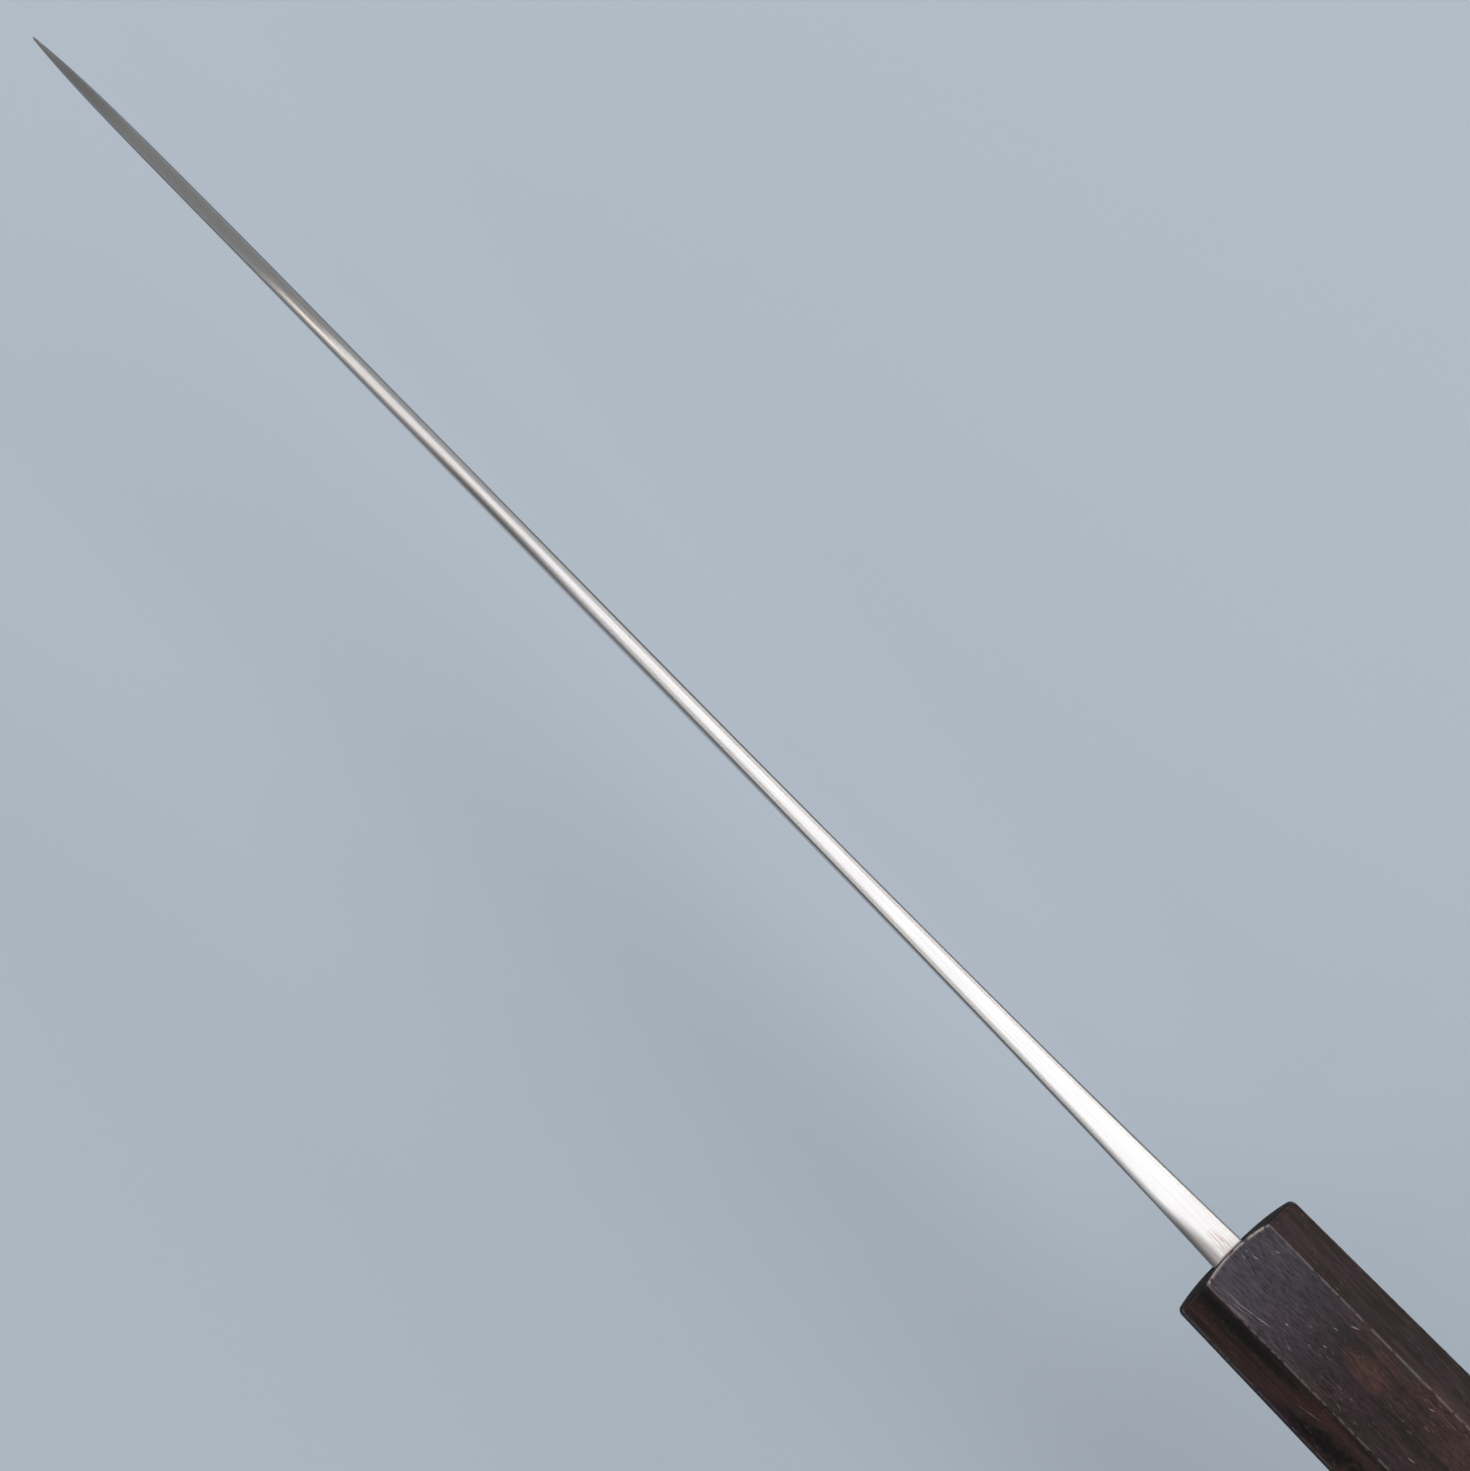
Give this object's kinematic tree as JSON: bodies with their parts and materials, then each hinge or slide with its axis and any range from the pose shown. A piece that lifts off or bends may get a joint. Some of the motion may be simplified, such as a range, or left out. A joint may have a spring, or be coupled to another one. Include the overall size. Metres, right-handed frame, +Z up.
{
  "type": "sujihiki knife",
  "caption": "Long narrow slicing knife: forged blade with a crowned spine and open heel, hidden tang set in a plain octagonal dark wood handle.",
  "frame": {"origin": "middle of the handle's front end, on the handle's long axis, where the neck enters the wood", "axes": "+X along the blade towards its point, +Z up out of the spine with the edge pointing down, +Y towards the blade's left side"},
  "size_m": [0.399, 0.028, 0.0413],
  "materials": {
    "blade_steel": "satin polish, ground along the blade, with a brighter crowned spine",
    "handle_wood": "dark open-pored hardwood, oiled, with light worn edges",
    "bedding_resin": "cured amber epoxy",
    "seal_compound": "black sealing compound, wiped smooth"
  },
  "bodies": {
    "root": {"blade": "blade_steel", "handle_body": "handle_wood", "tang_bedding": "bedding_resin", "neck_seal": "seal_compound"}
  },
  "joints": []
}
